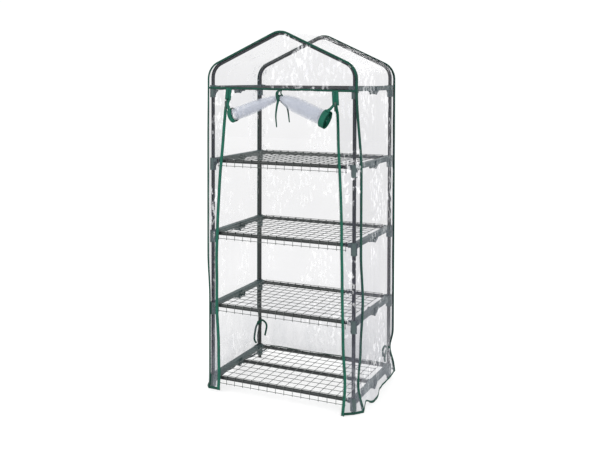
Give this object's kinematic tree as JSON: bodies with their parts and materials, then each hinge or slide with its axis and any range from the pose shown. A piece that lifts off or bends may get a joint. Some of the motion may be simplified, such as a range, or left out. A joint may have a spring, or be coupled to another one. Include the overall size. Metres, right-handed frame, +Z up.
{
  "type": "folding greenhouse",
  "caption": "Small walk-up greenhouse: folding tube frame with wire shelves under a clear film cover, its zipped front door rolled up and tied",
  "frame": {"origin": "on the ground, under the middle of the whole outline with the rolled door and the rear hem", "axes": "+Z up, -Y towards the door side, +X to the right of someone facing the door"},
  "size_m": [0.7104, 0.587, 1.6075],
  "materials": {
    "frame_tube": "dark green powder coat",
    "fitting_plastic": "moulded, satin",
    "shelf_wire": "dark grey coating",
    "rivet": "zinc plated",
    "film": "clear soft film",
    "rolled_film": "layers of clear soft film",
    "binding": "woven tape",
    "tie_tape": "woven tape",
    "zip_tape": "woven tape with a coil zip",
    "slider": "enamelled"
  },
  "bodies": {
    "front_frame": {"front_uprights": "frame_tube", "front_hoop": "frame_tube", "front_bar_0": "frame_tube", "front_bar_1": "frame_tube", "front_bar_2": "frame_tube", "front_bar_3": "frame_tube", "front_bar_4": "frame_tube", "front_connectors_0": "fitting_plastic", "front_connectors_1": "fitting_plastic", "front_connectors_2": "fitting_plastic", "front_connectors_3": "fitting_plastic", "front_connectors_4": "fitting_plastic", "front_pins": "rivet", "cover_front": "film", "cover_sides": "film", "cover_roof": "film", "binding_front": "binding", "hem_sides": "binding", "door_roll": "rolled_film", "door_tie": "tie_tape", "zip_tapes": "zip_tape"},
    "rear_frame": {"rear_uprights": "frame_tube", "rear_hoop": "frame_tube", "rear_bar_0": "frame_tube", "rear_bar_1": "frame_tube", "rear_bar_2": "frame_tube", "rear_bar_3": "frame_tube", "rear_bar_4": "frame_tube", "rear_connectors_0": "fitting_plastic", "rear_connectors_1": "fitting_plastic", "rear_connectors_2": "fitting_plastic", "rear_connectors_3": "fitting_plastic", "rear_connectors_4": "fitting_plastic", "rear_pins": "rivet", "cover_rear": "film", "binding_rear": "binding", "rear_ties": "tie_tape"},
    "front_rails_0": {"front_rails_0": "fitting_plastic", "middle_pins_0": "rivet"},
    "rear_rails_0": {"rear_rails_0": "fitting_plastic", "middle_tube": "frame_tube"},
    "front_rails_1": {"front_rails_1": "fitting_plastic", "middle_pins_1": "rivet"},
    "rear_rails_1": {"rear_rails_1": "fitting_plastic"},
    "front_rails_2": {"front_rails_2": "fitting_plastic", "middle_pins_2": "rivet"},
    "rear_rails_2": {"rear_rails_2": "fitting_plastic"},
    "front_rails_3": {"front_rails_3": "fitting_plastic", "middle_pins_3": "rivet"},
    "rear_rails_3": {"rear_rails_3": "fitting_plastic"},
    "front_rails_4": {"front_rails_4": "fitting_plastic", "middle_pins_4": "rivet"},
    "rear_rails_4": {"rear_rails_4": "fitting_plastic"},
    "shelf_0": {"shelf_0": "shelf_wire"},
    "shelf_1": {"shelf_1": "shelf_wire"},
    "shelf_2": {"shelf_2": "shelf_wire"},
    "shelf_3": {"shelf_3": "shelf_wire"},
    "slider_left": {"zip_slider_left": "slider"},
    "slider_right": {"zip_slider_right": "slider"}
  },
  "joints": [
    {"name": "fold", "type": "hinge", "parent": "front_frame", "child": "front_rails_2", "pos_m": [0, -0.1865, 0.708], "axis": [1, 0, 0], "range_deg": [0, 78], "deforming": ["cover_sides", "cover_roof", "hem_sides"]},
    {"name": "fold_front_0", "type": "hinge", "parent": "front_frame", "child": "front_rails_0", "pos_m": [0, -0.1865, 0.056], "axis": [1, 0, 0], "range_deg": [0, 78]},
    {"name": "fold_middle_0", "type": "hinge", "parent": "front_rails_0", "child": "rear_rails_0", "pos_m": [0, 0.0215, 0.037], "axis": [1, 0, 0], "range_deg": [-156, 0]},
    {"name": "fold_front_1", "type": "hinge", "parent": "front_frame", "child": "front_rails_1", "pos_m": [0, -0.1865, 0.382], "axis": [1, 0, 0], "range_deg": [0, 78]},
    {"name": "fold_middle_1", "type": "hinge", "parent": "front_rails_1", "child": "rear_rails_1", "pos_m": [0, 0.0215, 0.363], "axis": [1, 0, 0], "range_deg": [-156, 0]},
    {"name": "fold_middle_2", "type": "hinge", "parent": "front_rails_2", "child": "rear_rails_2", "pos_m": [0, 0.0215, 0.689], "axis": [1, 0, 0], "range_deg": [-156, 0]},
    {"name": "fold_front_3", "type": "hinge", "parent": "front_frame", "child": "front_rails_3", "pos_m": [0, -0.1865, 1.034], "axis": [1, 0, 0], "range_deg": [0, 78]},
    {"name": "fold_middle_3", "type": "hinge", "parent": "front_rails_3", "child": "rear_rails_3", "pos_m": [0, 0.0215, 1.015], "axis": [1, 0, 0], "range_deg": [-156, 0]},
    {"name": "fold_front_4", "type": "hinge", "parent": "front_frame", "child": "front_rails_4", "pos_m": [0, -0.1865, 1.36], "axis": [1, 0, 0], "range_deg": [0, 78]},
    {"name": "fold_middle_4", "type": "hinge", "parent": "front_rails_4", "child": "rear_rails_4", "pos_m": [0, 0.0215, 1.341], "axis": [1, 0, 0], "range_deg": [-156, 0]},
    {"name": "fold_rear", "type": "hinge", "parent": "rear_rails_2", "child": "rear_frame", "pos_m": [0, 0.2295, 0.708], "axis": [1, 0, 0], "range_deg": [0, 78]},
    {"name": "shelf_tip_0", "type": "hinge", "parent": "front_frame", "child": "shelf_0", "pos_m": [0, -0.2135, 0.056], "axis": [1, 0, 0], "range_deg": [0, 78]},
    {"name": "shelf_tip_1", "type": "hinge", "parent": "front_frame", "child": "shelf_1", "pos_m": [0, -0.2135, 0.382], "axis": [1, 0, 0], "range_deg": [0, 78]},
    {"name": "shelf_tip_2", "type": "hinge", "parent": "front_frame", "child": "shelf_2", "pos_m": [0, -0.2135, 0.708], "axis": [1, 0, 0], "range_deg": [0, 78]},
    {"name": "shelf_tip_3", "type": "hinge", "parent": "front_frame", "child": "shelf_3", "pos_m": [0, -0.2135, 1.034], "axis": [1, 0, 0], "range_deg": [0, 78]},
    {"name": "zip_left", "type": "slide", "parent": "front_frame", "child": "slider_left", "axis": [-0.0309, 0, -0.9995], "range_m": [0, 1.2]},
    {"name": "zip_right", "type": "slide", "parent": "front_frame", "child": "slider_right", "axis": [0.0309, 0, -0.9995], "range_m": [0, 1.2]}
  ],
  "couplings": [
    {"joint": "fold_front_0", "follows": "fold", "ratio": 1},
    {"joint": "fold_middle_0", "follows": "fold", "ratio": -2},
    {"joint": "fold_front_1", "follows": "fold", "ratio": 1},
    {"joint": "fold_middle_1", "follows": "fold", "ratio": -2},
    {"joint": "fold_middle_2", "follows": "fold", "ratio": -2},
    {"joint": "fold_front_3", "follows": "fold", "ratio": 1},
    {"joint": "fold_middle_3", "follows": "fold", "ratio": -2},
    {"joint": "fold_front_4", "follows": "fold", "ratio": 1},
    {"joint": "fold_middle_4", "follows": "fold", "ratio": -2},
    {"joint": "fold_rear", "follows": "fold", "ratio": 1},
    {"joint": "shelf_tip_0", "follows": "fold", "ratio": 1},
    {"joint": "shelf_tip_1", "follows": "fold", "ratio": 1},
    {"joint": "shelf_tip_2", "follows": "fold", "ratio": 1},
    {"joint": "shelf_tip_3", "follows": "fold", "ratio": 1}
  ]
}
